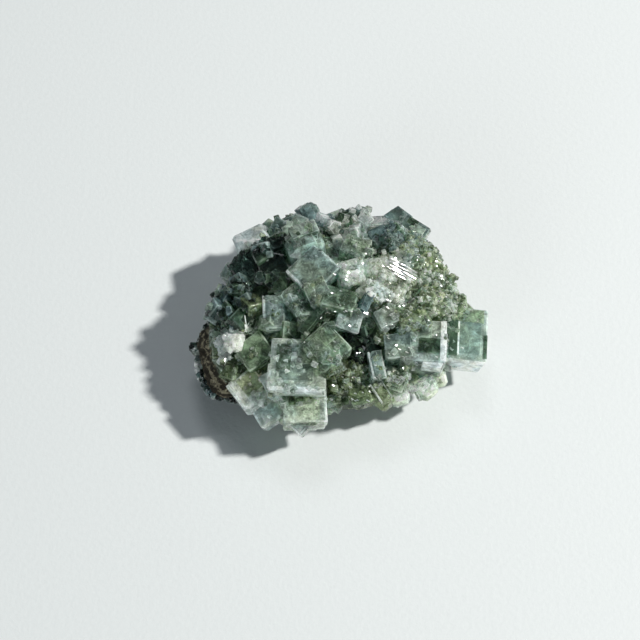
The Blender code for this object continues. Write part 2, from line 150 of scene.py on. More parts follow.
# Key crystals, as in the solids: across, up, height, edges, spin, lean to the viewer, lean to the right,
# then the look and, where it has one, the set of growth plates
KEY_CRYSTALS = [
    # front, from left to right
    # painted light: this crystal's colour is lightened against the shadow that its neighbour casts on it
    (-18.5, -10.9, 14.6, (7.4, 7.4, 6.0), 37, 8, -5, "glow", "left_front"),
    # painted light: this crystal lies in shade, and its pale milky tint lightens it
    (-15.0, -16.0, 10.0, (6.0, 5.8, 5.2), 30, 16, -8, "haze"),
    (-7.2, -15.0, 15.0, (8.8, 6.6, 6.8), 3, 10, 2, "rime", "bottom_centre"),
    (-8.2, -16.7, 12.0, (6.2, 6.2, 5.6), 47, 16, -4, "clear"),
    (-8.4, -6.0, 20.5, (11.6, 11.0, 9.0), -3, 5, -3, "cloud", "lower_centre"),
    (-13.6, -9.6, 18.0, (4.6, 4.6, 5.0), 24, 14, -12, "pale"),
    (-2.8, -2.6, 23.0, (7.8, 8.0, 7.0), 43, 10, 2, "green", "diamond"),
    (-5.8, 2.8, 23.6, (1.9, 6.6, 5.4), -42, 4, -16, "deep"),
    (0.2, 7.4, 25.2, (6.8, 6.0, 6.4), -16, -16, 6, "green"),
    (-4.6, 8.8, 25.0, (5.0, 5.4, 6.0), 22, 6, -10, "grey"),
    (2.2, 3.0, 23.8, (5.2, 5.0, 5.2), -12, 22, 14, "pale"),
    (5.9, 6.6, 24.6, (1.7, 4.6, 4.6), -20, 6, 24, "blue"),
    (9.7, 3.6, 22.4, (4.2, 4.0, 4.4), 28, 8, 6, "steel"),
    (7.8, -6.4, 17.6, (3.0, 6.2, 5.0), 12, 12, 4, "cool", "line_edged"),
    (8.6, -11.8, 14.4, (2.8, 5.2, 4.4), 33, 18, 0, "olive", "line_edged"),
    (4.2, -12.2, 14.0, (5.2, 5.2, 5.0), 20, 12, -6, "moss"),
    (11.6, -9.4, 14.8, (4.8, 4.8, 4.6), -18, 16, 4, "grey"),
    (12.2, -2.4, 19.4, (5.6, 5.4, 5.6), 8, 10, 2, "cool"),
    (18.4, -11.2, 10.8, (4.8, 4.8, 4.4), 36, 20, 6, "frost"),
    (21.0, -9.2, 10.2, (4.2, 4.2, 4.0), 14, 18, 12, "frost"),
    (9.6, -13.6, 10.0, (4.2, 4.2, 4.0), 44, 14, 0, "olive"),
    (1.8, -13.0, 10.4, (4.4, 4.4, 4.2), 16, 10, 6, "moss"),
    (12.8, -13.0, 10.2, (4.6, 4.4, 4.2), 24, 16, 4, "frost"),
    # right end
    (17.6, -1.4, 18.8, (9.2, 9.4, 8.6), -3, 4, 3, "steel", "big_right"),
    (15.6, 4.0, 21.2, (7.0, 6.4, 6.4), 20, 4, 2, "olive"),
    (27.3, -0.2, 13.6, (8.4, 11.8, 7.2), -3, 9, 7, "steel", "right_end"),
    (25.0, 6.0, 15.2, (6.0, 6.0, 5.4), 4, 2, 10, "olive"),
    (27.6, 4.6, 13.0, (4.2, 4.2, 4.0), 48, 4, 16, "olive"),
    (22.2, 10.0, 17.0, (5.6, 5.2, 5.0), 6, 0, 14, "olive"),
    # crest
    (-5.4, 13.4, 24.8, (8.2, 8.2, 7.4), 43, 9, -8, "cool", "big_crest"),
    (-7.4, 19.9, 25.4, (8.0, 7.6, 7.6), 22, -4, -4, "dome"),
    (-6.2, 20.2, 24.9, (6.4, 6.4, 6.4), 61, -2, 6, "dome"),
    (2.6, 13.2, 24.4, (6.0, 6.0, 6.0), 12, 2, 8, "frost"),
    (3.6, 18.6, 22.4, (5.6, 5.2, 5.4), -24, -10, 6, "grey"),
    (8.6, 13.2, 23.6, (6.4, 5.0, 5.0), -28, 0, 16, "frost"),
    (13.0, 13.0, 22.2, (7.2, 4.4, 5.2), -26, -2, 20, "frost"),
    (7.8, 8.6, 23.4, (5.0, 5.0, 5.0), 36, 6, 8, "olive"),
    (17.6, 11.4, 19.6, (5.4, 5.4, 5.2), 14, 0, 18, "olive"),
    # back
    (-9.8, 22.8, 19.4, (3.6, 7.2, 4.4), -34, -14, -12, "cool"),
    (-6.1, 26.4, 15.6, (3.4, 3.4, 3.4), 10, -12, 0, "ball"),
    (-6.1, 26.5, 15.5, (3.3, 3.3, 3.3), 52, 24, 30, "ball"),
    (0.0, 25.4, 14.8, (4.6, 4.4, 4.6), 30, -14, 4, "steel"),
    (3.4, 24.6, 13.8, (4.2, 4.2, 4.4), 58, -10, 6, "clear"),
    (8.0, 24.4, 15.2, (7.0, 3.8, 4.2), 8, -18, 2, "clear"),
    (10.6, 20.6, 19.0, (6.6, 6.4, 6.0), 31, -4, 8, "teal"),
    (13.3, 25.8, 14.6, (4.8, 4.8, 5.0), 45, -16, 4, "teal"),
    (16.4, 22.6, 15.8, (6.4, 6.0, 5.6), -30, -8, 14, "teal", "upper_right"),
    (20.0, 16.8, 15.6, (5.0, 5.0, 5.0), 40, -4, 20, "olive"),
    # left
    (-19.0, 20.6, 16.4, (7.6, 6.4, 6.0), 24, -8, -14, "glass"),
    (-15.0, 22.6, 15.2, (5.0, 5.0, 5.0), 50, -12, -6, "grey"),
    # the dark crystals here are partly dark green and partly painted shade: this side is turned from the key
    # light
    (-19.4, 14.4, 17.6, (6.8, 6.8, 6.6), 37, 2, -14, "dark"),
    (-23.2, 13.2, 14.4, (3.8, 4.6, 4.4), 58, 0, -22, "pale"),
    (-14.0, 14.0, 20.0, (6.0, 6.0, 6.0), 18, 4, -12, "dark"),
    (-16.0, 9.0, 18.6, (5.6, 5.6, 5.4), 62, 8, -14, "dark"),
    (-20.8, 7.4, 16.8, (5.2, 5.2, 5.2), 30, 8, -18, "dark"),
    (-25.2, 8.2, 14.6, (4.0, 4.0, 4.0), 33, 4, -20, "dark"),
    (-24.8, 4.8, 14.6, (4.2, 4.4, 4.4), 44, 14, -26, "teal"),
    (-13.4, 4.6, 21.2, (4.2, 7.6, 5.6), 2, 6, -2, "cool", "upright"),
    (-9.2, 7.6, 22.6, (5.2, 5.4, 5.4), 40, 6, -4, "grey"),
    (-18.6, 4.2, 18.0, (5.6, 5.4, 5.4), 10, 10, -8, "moss"),
    (-17.6, -3.6, 17.8, (6.8, 6.4, 6.4), 32, 12, -10, "green"),
    (-22.9, -2.6, 15.4, (5.0, 4.8, 4.8), 14, 12, -18, "rind"),
    (-22.4, -7.6, 14.6, (4.6, 4.8, 4.6), 52, 16, -16, "moss"),
]

# Growth plates on the faces of a key crystal: side, place and size as shares of the face, how proud, look
# Pale plates here are partly painted light: strips for edges catching the light, a near-white face for light
# through the crystal, and a blue-green sky sheen
PLATES = {
    "right_end": [
        ("front", 0.0, 0.0, 0.96, 0.96, 0.10, "snow_and_painted_light"),
        ("top", -0.98, -0.60, 0.24, 0.70, 0.34, "deep"),
        ("top", -0.52, -0.50, 0.05, 0.62, 0.40, "milk_and_painted_highlight"),
        ("top", 1.0, -0.80, 0.11, 0.46, 0.20, "deep"),
        ("top", 0.16, -0.30, 0.60, 0.64, 0.12, "cool"),
        ("top", 0.30, 0.96, 0.72, 0.26, 0.16, "olive"),
    ],
    "big_right": [
        ("top", 1.0, 0.0, 0.14, 0.98, 0.46, "milk_and_painted_highlight"),
        ("top", 0.66, -0.37, 0.58, 0.36, 0.22, "deep"),
        ("front", 0.75, 0.85, 0.46, 0.50, 0.32, "snow_and_painted_light"),
        ("top", -0.50, 0.40, 0.56, 0.55, 0.20, "painted_sky_sheen"),
    ],
    "lower_centre": [
        ("front", 0.0, 1.0, 0.99, 0.40, 0.44, "haze"),
        ("front", 0.70, 1.0, 0.62, 0.16, 0.80, "snow_and_painted_light"),
        ("left", -1.0, 0.95, 0.50, 0.40, 0.40, "haze"),
        ("top", -0.10, -0.60, 0.62, 0.40, 0.20, "painted_sky_sheen"),
        ("top", -0.70, 0.50, 0.28, 0.56, 0.30, "green"),
    ],
    "bottom_centre": [
        ("right", 0.0, 0.9, 0.96, 0.6, 0.30, "haze"),
        ("top", 0.98, 0.0, 0.14, 0.92, 0.24, "pale"),
        ("top", -0.60, 0.70, 0.36, 0.34, 0.14, "olive"),
    ],
    "left_front": [
        ("left", 0.0, 1.0, 0.84, 0.3, 0.16, "haze"),
        ("top", 0.3, 0.3, 0.6, 0.6, 0.10, "yellow"),
    ],
    "diamond": [
        ("top", 0.75, 0.75, 0.44, 0.44, 0.26, "green"),
        ("top", -0.60, 0.20, 0.46, 0.72, 0.18, "grey"),
    ],
    "upright": [
        ("left", 0.0, 0.9, 0.96, 0.56, 0.34, "milk_and_painted_highlight"),
        ("top", 0.80, 0.0, 0.44, 0.92, 0.18, "cool"),
    ],
    "line_edged": [
        ("top", -0.96, 0.0, 0.14, 0.94, 0.24, "milk_and_painted_highlight"),
        ("top", 0.96, 0.0, 0.10, 0.94, 0.20, "pale"),
    ],
    "upper_right": [
        ("top", 0.60, -0.30, 0.46, 0.62, 0.34, "cool"),
        ("top", -0.50, 0.80, 0.40, 0.36, 0.22, "deep"),
        ("right", 0.20, 0.90, 0.80, 0.44, 0.24, "pale"),
    ],
    "big_crest": [
        ("left", 0.0, 0.9, 0.96, 0.4, 0.26, "milk_and_painted_highlight"),
    ],
}
PLATE_DEPTH = 0.5  # that a plate goes into its crystal
PLATE_CHAMFER = 0.12
PLATE_WEAR = 0.05
KEY_CHAMFER = 0.05  # share of the least edge
KEY_CHAMFER_MOST = 0.34
ROUNDED_MOST = 0.28  # the widest cut edge, as a share of the least edge
KEY_WEAR = 0.03  # how far a corner may be off, as a share of the edge
COARSE_WEAR = 0.15  # the same where the look is grainy
COARSE_GRAIN = 0.7
WORN_EDGE = 4.0  # wear grows with the edge up to this one
SIDES = {"top": (2, 1), "front": (1, -1), "right": (0, 1), "left": (0, -1)}

# How a crystal looks: colour, how see-through it is, how grainy it is
LOOKS = {
    "clear": ((0.90, 0.98, 0.95), 0.72, 0.06),
    # partly a milky white, partly painted light: near-white that stands in for light coming through a
    # crystal and lightens places in shade
    "snow_and_painted_light": ((0.94, 1.0, 0.98), 0.05, 0.08),
    # partly a milky haze, partly painted light: a paler tint that lightens crystals lying in shade
    "haze": ((0.88, 1.0, 0.95), 0.22, 0.12),
    "glass": ((0.92, 1.0, 1.0), 0.48, 0.02),
    "dome": ((0.46, 0.61, 0.54), 0.74, 0.10),
    # painted light: a lightened pale lime that makes up for the shadow cast on the crystal that wears it
    "glow": ((0.95, 1.0, 0.90), 0.20, 0.30),
    "steel": ((0.60, 0.72, 0.66), 0.60, 0.18),
    "rime": ((0.72, 0.86, 0.73), 0.46, 0.70),
    "pale": ((0.72, 0.86, 0.79), 0.60, 0.12),
    # painted reflection: a pale blue-green that stands in for the sky's sheen on top faces
    "painted_sky_sheen": ((0.64, 0.82, 0.74), 0.52, 0.06),
    "cool": ((0.50, 0.64, 0.59), 0.62, 0.18),
    "grey": ((0.46, 0.60, 0.48), 0.64, 0.40),
    "green": ((0.38, 0.53, 0.39), 0.70, 0.30),
    "teal": ((0.22, 0.31, 0.31), 0.60, 0.08),
    "blue": ((0.34, 0.52, 0.58), 0.70, 0.08),
    "lime": ((0.68, 0.84, 0.62), 0.44, 0.40),
    "yellow": ((0.78, 0.90, 0.62), 0.42, 0.35),
    "cloud": ((0.80, 0.95, 0.86), 0.40, 0.22),
    "olive": ((0.46, 0.57, 0.38), 0.62, 0.75),
    "moss": ((0.27, 0.35, 0.20), 0.70, 0.85),
    "frost": ((0.84, 1.0, 0.82), 0.40, 1.00),
    "rind": ((0.94, 1.0, 0.97), 0.08, 0.90),
    # thin pale strips along edges: partly milky, partly a painted highlight of edges catching the light
    "milk_and_painted_highlight": ((0.88, 0.97, 0.94), 0.22, 0.20),
    "deep": ((0.11, 0.18, 0.125), 0.70, 0.12),
    # dark and black: partly the crystals' own dark green, partly painted shade where crystals lie in shade
    # on the left and in a recess
    "dark": ((0.065, 0.110, 0.095), 0.80, 0.20),
    "black": ((0.004, 0.010, 0.007), 0.24, 0.10),
    "ball": ((0.19, 0.26, 0.255), 0.60, 0.04),
    # partly painted glint: a near-white for the glittering crystals, whose turned faces also catch the key
    # light
    "mirror_and_painted_glint": ((0.92, 0.97, 0.95), 0.50, 0.0),
}
EDGE_FROST_AND_HIGHLIGHT = (0.80, 0.88, 0.86)  # the cut edges' pale colour: partly frosting, partly a painted highlight of edges catching the light
EDGE_SHARE = 0.30  # how much of it the cut edges of the palest crystals take
EDGE_CLEAR = 0.6  # how see-through a cut edge is, as a share of its crystal's faces
EDGE_GRAIN = 0.3  # the same for its grain
PALE_SPREAD = 0.12  # how far the tone of a pale crystal's faces varies
DARK_SPREAD = 0.45
PALE_FROM = 0.25  # a crystal is pale when its strongest colour part is above this
CLEAR_SPREAD = 0.07
# Wide worn edges by look, in millimetres; they keep their crystal's colour
ROUNDED = {
    "ball": 0.9,
    "dome": 2.1,
    "glow": 0.9,
    "glass": 0.7,
    "frost": 0.8,
    "haze": 0.5,
    "snow_and_painted_light": 0.5,
    "olive": 0.6,
    "moss": 0.5,
    "rind": 1.0,
}

# The looks of the lesser crystals by place: across, up, radius in the picture plane, looks to draw from
LOOK_PATCHES = [
    # painted shade, in part: the dark and black looks on the left stand for crystals lying in shade
    (-17.5, 13.0, 6.4, ("dark", "teal", "dark", "deep", "dark", "black")),
    (-13.6, 17.6, 4.0, ("dark", "dark", "black", "cool")),
    (-21.0, 21.0, 4.4, ("haze", "pale")),
    # painted shade: a recess in shade, drawn as black and deep crystals
    (3.6, -2.6, 4.0, ("deep", "black", "black")),
    (2.4, -11.0, 5.6, ("moss", "moss", "olive", "grey")),
    (-22.2, -2.8, 4.0, ("snow_and_painted_light", "haze", "snow_and_painted_light")),
    (-23.0, -9.0, 4.0, ("moss", "olive")),
    (-22.4, 4.8, 4.2, ("deep", "teal", "dark")),
    (11.0, 12.4, 6.4, ("frost", "frost", "haze", "snow_and_painted_light", "frost", "haze", "rime")),
    (3.6, 12.6, 5.0, ("frost", "haze", "frost", "snow_and_painted_light", "haze", "rime")),
    (4.0, 18.6, 5.0, ("grey", "pale", "olive", "steel")),
    (21.0, 11.0, 9.0, ("olive", "moss", "yellow", "green", "olive", "frost")),
    (10.2, 20.4, 4.4, ("teal", "teal", "deep")),
    (7.6, 25.0, 3.0, ("clear", "pale")),
    (1.0, 24.0, 5.4, ("teal", "clear", "deep", "clear", "glass")),
    (-11.5, 23.0, 4.5, ("teal", "deep", "teal", "grey")),
    (17.0, 20.0, 5.0, ("cool", "green", "olive")),
    (20.0, -11.0, 6.0, ("pale", "frost", "lime", "clear")),
    (9.0, -12.0, 5.0, ("olive", "frost", "moss", "clear")),
    (-16.0, 2.0, 5.0, ("moss", "grey", "green")),
    (-17.0, -17.0, 5.0, ("haze", "lime")),
    (-6.0, -20.0, 4.0, ("clear", "pale")),
]
LOOKS_ELSEWHERE = ("grey", "steel", "green", "grey", "olive")

# Where the crust is sown with tiny crystals: across, up, radius in the picture plane, share of the tries
DRUSE_PATCHES = [
    (14.0, 13.0, 11.0, 1.0),
    (24.0, 9.0, 8.0, 0.9),
    (4.0, 15.0, 6.0, 0.7),
    (5.0, -11.0, 8.0, 1.0),
    (-23.0, -2.6, 5.0, 0.7),
    (-5.0, 6.0, 6.5, 0.5),
    (-17.0, 12.0, 8.0, 0.2),
    (14.0, -11.0, 9.0, 1.0),
    (-18.0, -2.0, 7.0, 0.4),
]
DRUSE_ELSEWHERE = 0.25
DRUSE_FADE = 2.5  # how fast a patch thickens from its rim inwards
DRUSE_LOWEST = 4.0
DRUSE_CHAMFER = 0.07
DRUSE_STRETCH = 1.1
# From where it is sown, tries, edge, how deep a centre sinks as a share of the edge, seed
DRUSE_SOWINGS = [
    ("around", 800, (2.4, 4.6), 0.48, 53),
    ("around", 1300, (1.4, 2.6), 0.36, 41),
    ("around", 4800, (0.5, 1.5), 0.16, 29),
    ("above", 3900, (0.35, 1.0), 0.16, 31),
]
ON_KEY = 1.04  # a point is on a key crystal within this share of its half edges
ON_GRAINY = 0.9  # share of the druse that grows on a key crystal's face
GRAINY_FROM = 0.3
ON_SMOOTH = 0.1  # stands in for the place's share of the druse on a smooth face
ABOVE_ALL = 40.0  # a height over everything, where the rays along the view start
SOWN_ACROSS = (-26, 28)
SOWN_UP = (-16, 24)
SOWN_LEVELS = (-0.25, 0.98)
SOWN_FROM = -12.0  # the rays around the crust start this far under its surface, so well outside it
SOWN_TO = 9.0  # and aim this far under it

ROUND_PLACE = (-6.1, 26.6, 13.8)
ROUND_EDGE = 3.7
ROUND_CHAMFER = 1.05
ROUND_TURNS = 4
ROUND_ROOT = (0.2, -2.0, -1.2)  # from the round crystal's centre to that of the one it grows on
ROUND_ROOT_EDGE = 3.6
ROUND_ROOT_CHAMFER = 0.05
# Places that no sown crystal grows at: across, up, radius in the picture plane
KEPT_BARE = [(-6.1, 26.6, 3.6), (8.2, 24.2, 2.6), (-20.0, 21.0, 1.8), (18.6, -2.4, 2.8)]
TINY = 1.6
TINY_BEYOND = 2.0  # how far tiny crystals may stand on the ends of the key crystals
# Places that only tiny crystals grow at: across, up, radius in the picture plane
KEPT_CLEAR = [
    (-5.8, 2.6, 2.6),
    (2.2, 3.4, 3.4),
    (6.0, 5.6, 2.4),
    (-15.0, -3.4, 2.0),
    (15.6, 3.6, 3.4),
    (-8.4, -7.0, 4.6),
    (-7.1, 20.8, 4.2),
    (-5.4, 13.4, 4.2),
]

# The glittering patch: thin crystals grown side by side, with their common face turned the same way; their
# near-white colour is partly a painted glint
GLITTER_PLACE = (12.9, 13.0)
GLITTER_REACH = (2.5, 1.2)
GLITTER_COUNT = 115
GLITTER_STEP = 0.62  # from one row to the next
GLITTER_ROWS = -28  # how the rows run in the picture, degrees
GLITTER_TURN = -22  # how the thin crystals lie in plan, degrees
GLITTER_FACE = (0.361, -0.257, 0.897)
GLITTER_SPREAD = 0.027
GLITTER_EDGES = ((0.9, 2.4), (0.12, 0.34), (0.8, 1.5))
GLITTER_SUNK = 0.2  # share of the depth
GLITTER_CHAMFER = 0.04
GLINTS = 5
GLINT_PLACE = (6.1, 4.5)
GLINT_REACH = 0.7
GLINT_WIDTH = (0.6, 1.2)
GLINT_SPREAD = 0.01
SPARKLES = 260
SPARKLE_ACROSS = (-2, 27)
SPARKLE_UP = (-14, 17)
SPARKLE_EDGE = (0.18, 0.44)
SPARKLE_SPREAD = 0.7  # share of the glittering patch's own
SPARKLE_SUNK = 0.4
KEPT_DULL = [(3.6, -2.6, 4.4)]  # where nothing sparkles: across, up, radius in the picture plane

SPECK = 1.0  # cubic millimetres: a loose part smaller than this is dropped

Crystal = namedtuple("Crystal", "centre edges turn chamfer look wear", defaults=(0.07,))


def between(table, heading):
    """The value in a table of (heading, value) rows, eased between the rows."""
    heading = (heading + 180.0) % 360.0 - 180.0
    for (start, low), (end, high) in zip(table, table[1:]):
        if start <= heading <= end:
            share = (heading - start) / (end - start)
            return low + (high - low) * (1.0 - math.cos(math.pi * share)) / 2.0
    return table[-1][1]


def crust_point(heading, rise, inset=0.0):
    """A point on the crust. rise is in degrees: 0 at the rim, 90 at the crest, negative underneath."""
    up = math.sin(math.radians(rise))
    out = math.cos(math.radians(rise))
    reach = (between(REACH, heading) - inset) * out**0.75
    above = max(up, 0.0)
    if up > 0:
        height = RIM_HEIGHT + (CREST_HEIGHT - inset - RIM_HEIGHT) * up
    else:
        height = RIM_HEIGHT + UNDERCUT * up
    turn = math.radians(heading)
    x = CENTRE[0] + CREST_SHIFT[0] * above + reach * math.cos(turn)
    y = CENTRE[1] + CREST_SHIFT[1] * above + reach * math.sin(turn)
    return Vector((x, y, height))


def seen_point(across, up, height):
    """The point that is seen at a place in the picture and stands at a height."""
    y = (up - height * math.cos(VIEW_ELEVATION)) / math.sin(VIEW_ELEVATION)
    return Vector((across, y, height))


def seen_place(point):
    """Where a point is seen in the picture: across and up."""
    up = point.y * math.sin(VIEW_ELEVATION) + point.z * math.cos(VIEW_ELEVATION)
    return Vector((point.x, up))


def is_near(point, spots):
    """Whether a point is seen in one of the round spots of the picture plane."""
    place = seen_place(point)
    return any((place - Vector(spot[:2])).length < spot[2] for spot in spots)


def to_metres(point):
    return Vector((point.x - PLAN_MIDDLE[0], point.y - PLAN_MIDDLE[1], point.z)) * MM


def to_millimetres(place):
    return place / MM + Vector((*PLAN_MIDDLE, 0.0))


def view_ray(across, up):
    """Where the ray along the view at a place in the picture starts, and where it goes."""
    start = to_metres(seen_point(across, up, ABOVE_ALL))
    return start, Vector((0, math.cos(VIEW_ELEVATION), -math.sin(VIEW_ELEVATION)))


def out_from_centre(heading, reach, height):
    turn = math.radians(heading)
    return Vector((CENTRE[0] + reach * math.cos(turn), CENTRE[1] + reach * math.sin(turn), height))


def closed_rings(rings):
    """A mesh of rings of points that are joined with faces, the first and the last ring closed."""
    mesh = bmesh.new()
    rows = [[mesh.verts.new(to_metres(point)) for point in ring] for ring in rings]
    for lower, upper in zip(rows, rows[1:]):
        for i in range(len(lower)):
            j = (i + 1) % len(lower)
            mesh.faces.new((lower[i], lower[j], upper[j], upper[i]))
    mesh.faces.new(list(reversed(rows[0])))
    mesh.faces.new(rows[-1])
    return mesh


def finished(name, mesh):
    """An object with a mesh's faces. The working mesh is freed."""
    data = bpy.data.meshes.new(name)
    mesh.to_mesh(data)
    mesh.free()
    return bpy.data.objects.new(name, data)


# One crystal: a box with every edge cut off at 45 degrees


def chamfered_box_faces():
    """The faces of a chamfered box. Vertex 8 * axis + corner lies on the face across that axis."""
    signs = list(itertools.product((-1, 1), repeat=3))
    index = {(axis, s): axis * 8 + i for axis in range(3) for i, s in enumerate(signs)}
    rings = []
    for axis in range(3):
        b, c = (axis + 1) % 3, (axis + 2) % 3
        for side in (-1, 1):
            ring = []
            for at_b, at_c in ((-1, -1), (1, -1), (1, 1), (-1, 1)):
                s = [0, 0, 0]
                s[axis], s[b], s[c] = side, at_b, at_c
                ring.append((axis, tuple(s)))
            rings.append(ring)
    for a, b in ((0, 1), (0, 2), (1, 2)):
        c = 3 - a - b
        for at_a, at_b in itertools.product((-1, 1), repeat=2):
            s = [0, 0, 0]
            s[a], s[b], s[c] = at_a, at_b, -1
            low = tuple(s)
            s[c] = 1
            high = tuple(s)
            rings.append([(a, low), (a, high), (b, high), (b, low)])
    for s in signs:
        rings.append([(0, s), (1, s), (2, s)])
    faces = []
    for ring in rings:
        at = [Vector([s[k] * (1.0 if k == axis else 0.8) for k in range(3)]) for axis, s in ring]
        normal = (at[1] - at[0]).cross(at[2] - at[0])
        if normal.dot(sum(at, Vector())) < 0:
            ring.reverse()
        faces.append([index[key] for key in ring])
    return signs, faces


CORNERS, BOX_FACES = chamfered_box_faces()


def blend(low, high, share):
    return tuple(a + (b - a) * share for a, b in zip(low, high))


def paint(data, main_faces, look, rng):
    """Writes a crystal's look on its faces. The faces after the main ones are its cut edges and corners."""
    colour, clear, grain = LOOKS[look]
    spread = PALE_SPREAD if max(colour) > PALE_FROM else DARK_SPREAD
    body = rng.uniform(1.0 - spread, 1.0 + spread)
    tints, clears, grains = [], [], []
    for i in range(len(data.polygons)):
        tone = body * rng.uniform(1.0 - spread, 1.0 + spread)
        tint = tuple(tone * part for part in colour)
        if i < main_faces:
            tints.append(tint)
            clears.append(clear + rng.uniform(-CLEAR_SPREAD, CLEAR_SPREAD))
            grains.append(grain)
        else:
            # painted highlight: the cut edges are blended towards a pale colour that stands partly for frost
            # and partly for edges catching the light
            share = EDGE_SHARE * (0.10 + 0.90 * max(colour))
            tints.append(tint if look in ROUNDED else blend(tint, EDGE_FROST_AND_HIGHLIGHT, share))
            clears.append(clear * EDGE_CLEAR)
            grains.append(EDGE_GRAIN * grain)
    flat = [part for tint in tints for part in (*tint, 1.0)]
    data.attributes.new("tint", "FLOAT_COLOR", "FACE").data.foreach_set("color", flat)
    data.attributes.new("clear", "FLOAT", "FACE").data.foreach_set("value", clears)
    data.attributes.new("grain", "FLOAT", "FACE").data.foreach_set("value", grains)


def crystal_object(name, crystal, seed):
    """One chamfered box as an object."""
    rng = random.Random(seed)
    wear = [crystal.wear * min(edge, WORN_EDGE) for edge in crystal.edges]
    worn = [Vector([most * rng.uniform(-1, 0.4) * side for most, side in zip(wear, s)]) for s in CORNERS]
    verts = []
    for axis in range(3):
        for s, shift in zip(CORNERS, worn):
            local = Vector([s[k] * (crystal.edges[k] / 2.0 - crystal.chamfer) for k in range(3)])
            local[axis] = s[axis] * crystal.edges[axis] / 2.0
            local += shift
            verts.append(to_metres(crystal.centre + crystal.turn @ local))
    data = bpy.data.meshes.new(name)
    data.from_pydata([tuple(v) for v in verts], [], BOX_FACES)
    paint(data, 6, crystal.look, rng)
    return bpy.data.objects.new(name, data)


def united(name, rows, base):
    """A base and many chamfered crystals joined in one closed mesh."""
    parts = bpy.data.collections.new(name + "_parts")
    bpy.context.scene.collection.children.link(parts)
    for i, crystal in enumerate(rows):
        parts.objects.link(crystal_object(f"{name}_{i}", crystal, i))
    if base.name not in bpy.context.scene.collection.objects:
        bpy.context.scene.collection.objects.link(base)
    step = base.modifiers.new("join", "BOOLEAN")
    step.operation = "UNION"
    step.solver = "MANIFOLD"
    step.operand_type = "COLLECTION"
    step.collection = parts
    graph = bpy.context.evaluated_depsgraph_get()
    data = bpy.data.meshes.new_from_object(base.evaluated_get(graph), depsgraph=graph)
    base.modifiers.clear()
    old = base.data
    base.data = data
    bpy.data.meshes.remove(old)
    for piece in list(parts.objects):
        mesh = piece.data
        bpy.data.objects.remove(piece)
        bpy.data.meshes.remove(mesh)
    bpy.data.collections.remove(parts)
    base.name = name
    data.name = name
    return base


def connected_parts(mesh):
    """The faces of each connected part of a mesh."""
    left = set(mesh.faces)
    parts = []
    while left:
        front = [left.pop()]
        part = list(front)
        while front:
            for edge in front.pop().edges:
                for face in edge.link_faces:
                    if face in left:
                        left.remove(face)
                        front.append(face)
                        part.append(face)
        parts.append(part)
    return parts


def enclosed(part):
    """The volume inside a closed part in cubic metres. It is negative for a pocket."""
    total = 0.0
    for face in part:
        first, *others = [vert.co for vert in face.verts]
        for a, b in zip(others, others[1:]):
            total += first.dot(a.cross(b)) / 6.0
    return total


def keep_outer_surface(made):
    """Drops the closed pockets that crystals leave between them, and specks that touch nothing."""
    mesh = bmesh.new()
    mesh.from_mesh(made.data)
    dropped = []
    for part in connected_parts(mesh):
        if enclosed(part) < SPECK * MM**3:
            dropped += part
    bmesh.ops.delete(mesh, geom=dropped, context="FACES")
    mesh.to_mesh(made.data)
    mesh.free()


def random_turn(rng):
    """Any turn in space, each as likely as another."""
    parts = [rng.gauss(0, 1) for _ in range(4)]
    return Quaternion(parts).normalized().to_matrix()


def key_crystals():
    """The key crystals, and the growth plates on them."""
    crystals, plates = [], []
    for across, up, height, edges, spin, to_viewer, to_right, look, *plate_sets in KEY_CRYSTALS:
        lean = Euler((math.radians(to_viewer), math.radians(to_right), 0.0), "XYZ").to_matrix()
        turn = lean @ Matrix.Rotation(math.radians(spin), 3, "Z")
        top = seen_point(across, up, height)
        least = min(edges)
        chamfer = min(ROUNDED.get(look, min(KEY_CHAMFER_MOST, KEY_CHAMFER * least)), ROUNDED_MOST * least)
        centre = top - turn @ Vector((0, 0, edges[2] / 2.0))
        wear = COARSE_WEAR if LOOKS[look][2] > COARSE_GRAIN else KEY_WEAR
        crystals.append(Crystal(centre, edges, turn, chamfer, look, wear))
        for plate_set in plate_sets:
            plates += growth_plates(crystals[-1], plate_set)
    return crystals, plates


def growth_plates(crystal, plate_set):
    """The thin parallel plates on a key crystal's faces."""
    made = []
    for side, at_u, at_v, size_u, size_v, proud, look in PLATES[plate_set]:
        axis, sign = SIDES[side]
        u, v = [k for k in range(3) if k != axis]
        size = [0.0, 0.0, 0.0]
        size[axis] = proud + PLATE_DEPTH
        size[u] = size_u * crystal.edges[u]
        size[v] = size_v * crystal.edges[v]
        at = Vector((0, 0, 0))
        at[axis] = sign * (crystal.edges[axis] / 2.0 + proud - size[axis] / 2.0)
        at[u] = at_u * (crystal.edges[u] - size[u]) / 2.0
        at[v] = at_v * (crystal.edges[v] - size[v]) / 2.0
        centre = crystal.centre + crystal.turn @ at
        chamfer = min(0.5 * proud, PLATE_CHAMFER)
        made.append(Crystal(centre, size, crystal.turn, chamfer, look, PLATE_WEAR))
    return made


def key_at(point, keys, share):
    """The key crystal that a point is in or near, or None."""
    for key in keys:
        local = key.turn.transposed() @ (point - key.centre)
        if max(abs(local[i]) / (key.edges[i] / 2.0) for i in range(3)) < share:
            return key
    return None


def round_crystal(rng):
    """Turned cubes with wide cut edges that make nearly a ball, and the crystal that they grow on."""
    centre = seen_point(*ROUND_PLACE)
    edges = (ROUND_EDGE,) * 3
    made = [Crystal(centre, edges, random_turn(rng), ROUND_CHAMFER, "ball", 0.0) for _ in range(ROUND_TURNS)]
    root = centre + Vector(ROUND_ROOT)
    chamfer = ROUND_ROOT_CHAMFER * ROUND_ROOT_EDGE
    made.append(Crystal(root, (ROUND_ROOT_EDGE,) * 3, random_turn(rng), chamfer, "teal", 0.0))
    return made


